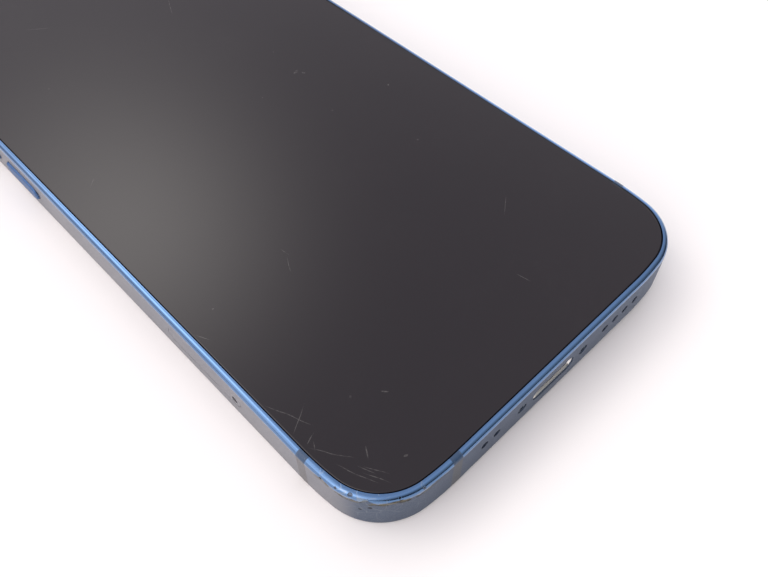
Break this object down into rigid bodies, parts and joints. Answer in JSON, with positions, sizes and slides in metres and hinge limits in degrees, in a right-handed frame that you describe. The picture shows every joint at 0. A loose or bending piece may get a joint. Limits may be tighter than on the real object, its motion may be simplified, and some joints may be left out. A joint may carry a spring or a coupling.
{
  "type": "smartphone",
  "caption": "Flat-sided smartphone with a blue metal rail, black front glass, charging socket, keys, SIM tray and rear cameras, built as separate pieces.",
  "frame": {"origin": "centre of the rear glass's flat outer face", "axes": "+X to the phone's right with the screen facing the viewer, +Y towards the earpiece end, +Z out of the screen"},
  "size_m": [0.065, 0.1316, 0.0089],
  "materials": {
    "blue_anodised_aluminium": "fine bead-blasted matte sides, polished front edge, blue anodised",
    "band_plastic": "moulded, teal blue",
    "cover_glass": "polished, black behind, fine scratches",
    "rear_glass": "polished, blue backing",
    "display_panel": "switched-off emissive panel",
    "black_seal": "soft black adhesive seal",
    "stainless_steel": "stamped steel",
    "plain_aluminium": "milled",
    "lens_ring": "polished, blue anodised",
    "sapphire": "polished, dark",
    "camera_black": "moulded black",
    "flash_diffuser": "frosted cream",
    "battery_pouch": "black laminate film",
    "circuit_board": "solder mask, dark blue-black",
    "copper": "wound enamelled copper",
    "gold_contact": "plated",
    "magnet_nickel": "nickel plated",
    "moulded_black": "moulded black",
    "tungsten": "sintered",
    "woven_mesh": "fine acoustic weave",
    "screw_steel": "blue-grey plated steel",
    "card_plastic": "white card"
  },
  "bodies": {
    "chassis": {"acoustic_meshes": "woven_mesh", "alignment_magnets": "magnet_nickel", "antenna_band_bottom": "band_plastic", "antenna_band_lower_left": "band_plastic", "antenna_band_lower_right": "band_plastic", "antenna_band_top": "band_plastic", "antenna_band_upper_left": "band_plastic", "antenna_band_upper_right": "band_plastic", "battery": "battery_pouch", "board_screws": "stainless_steel", "bottom_microphone": "stainless_steel", "bottom_screws": "screw_steel", "camera_cover_lenses": "sapphire", "camera_trim_rings": "lens_ring", "charging_coil": "copper", "charging_flex": "circuit_board", "charging_port_contacts": "gold_contact", "charging_port_housing": "moulded_black", "charging_port_shell": "stainless_steel", "chassis_plate": "plain_aluminium", "cover_glass": "cover_glass", "display_panel": "display_panel", "display_seal": "black_seal", "display_shield": "stainless_steel", "earpiece_mesh": "woven_mesh", "earpiece_speaker": "moulded_black", "flash_led": "flash_diffuser", "flash_window": "flash_diffuser", "front_camera": "camera_black", "haptic_motor_case": "stainless_steel", "haptic_motor_springs": "stainless_steel", "loudspeaker_enclosure": "moulded_black", "loudspeaker_magnet": "magnet_nickel", "main_camera_housing": "stainless_steel", "main_logic_board": "circuit_board", "processor_shield": "stainless_steel", "radio_shield": "stainless_steel", "rail_left": "blue_anodised_aluminium", "rail_lower_edge": "blue_anodised_aluminium", "rail_lower_left_corner": "blue_anodised_aluminium", "rail_right": "blue_anodised_aluminium", "rail_upper_edge": "blue_anodised_aluminium", "rail_upper_right_corner": "blue_anodised_aluminium", "rear_glass": "rear_glass", "side_button_flex": "circuit_board", "sim_reader": "stainless_steel", "ultrawide_camera": "camera_black", "volume_button_flex": "circuit_board"},
    "volume_up_button": {"volume_up_button": "blue_anodised_aluminium"},
    "volume_down_button": {"volume_down_button": "blue_anodised_aluminium"},
    "side_button": {"side_button": "blue_anodised_aluminium"},
    "ring_switch": {"ring_switch": "blue_anodised_aluminium"},
    "sim_tray": {"sim_tray": "blue_anodised_aluminium", "nano_sim_card": "card_plastic"},
    "sim_eject_rod": {"sim_eject_rod": "stainless_steel"},
    "sim_eject_lever": {"sim_eject_lever": "stainless_steel"},
    "main_camera_lens": {"main_camera_lens_barrel": "camera_black"},
    "haptic_motor_mass": {"haptic_motor_mass": "tungsten"},
    "loudspeaker_diaphragm": {"loudspeaker_diaphragm": "moulded_black"}
  },
  "joints": [
    {"name": "volume_up_press", "type": "slide", "parent": "chassis", "child": "volume_up_button", "axis": [1, 0, 0], "range_m": [0, 0.00025], "stiffness_N_per_m": 3000},
    {"name": "volume_down_press", "type": "slide", "parent": "chassis", "child": "volume_down_button", "axis": [1, 0, 0], "range_m": [0, 0.00025], "stiffness_N_per_m": 3000},
    {"name": "side_button_press", "type": "slide", "parent": "chassis", "child": "side_button", "axis": [-1, 0, 0], "range_m": [0, 0.00025], "stiffness_N_per_m": 3500},
    {"name": "ring_switch_slide", "type": "slide", "parent": "chassis", "child": "ring_switch", "axis": [0, 0, -1], "range_m": [0, 0.0011]},
    {"name": "sim_tray_slide", "type": "slide", "parent": "chassis", "child": "sim_tray", "axis": [-1, 0, 0], "range_m": [0, 0.016]},
    {"name": "sim_eject_rod_push", "type": "slide", "parent": "chassis", "child": "sim_eject_rod", "axis": [1, 0, 0], "range_m": [0, 0.0012]},
    {"name": "sim_eject_lever_swing", "type": "hinge", "parent": "chassis", "child": "sim_eject_lever", "pos_m": [-0.0151, -0.035, 0.0037], "axis": [0, 0, 1], "range_deg": [0, 19.11]},
    {"name": "main_camera_focus", "type": "slide", "parent": "chassis", "child": "main_camera_lens", "axis": [0, 0, -1], "range_m": [0, 0.0003], "stiffness_N_per_m": 60},
    {"name": "haptic_motor_shake", "type": "slide", "parent": "chassis", "child": "haptic_motor_mass", "axis": [1, 0, 0], "range_m": [-0.0004, 0.0004], "stiffness_N_per_m": 4000},
    {"name": "loudspeaker_diaphragm_move", "type": "slide", "parent": "chassis", "child": "loudspeaker_diaphragm", "axis": [0, 0, 1], "range_m": [-0.0003, 0.0003], "stiffness_N_per_m": 800}
  ],
  "couplings": [
    {"joint": "sim_eject_lever_swing", "follows": "sim_eject_rod_push", "rad_per_m": 277.78}
  ]
}
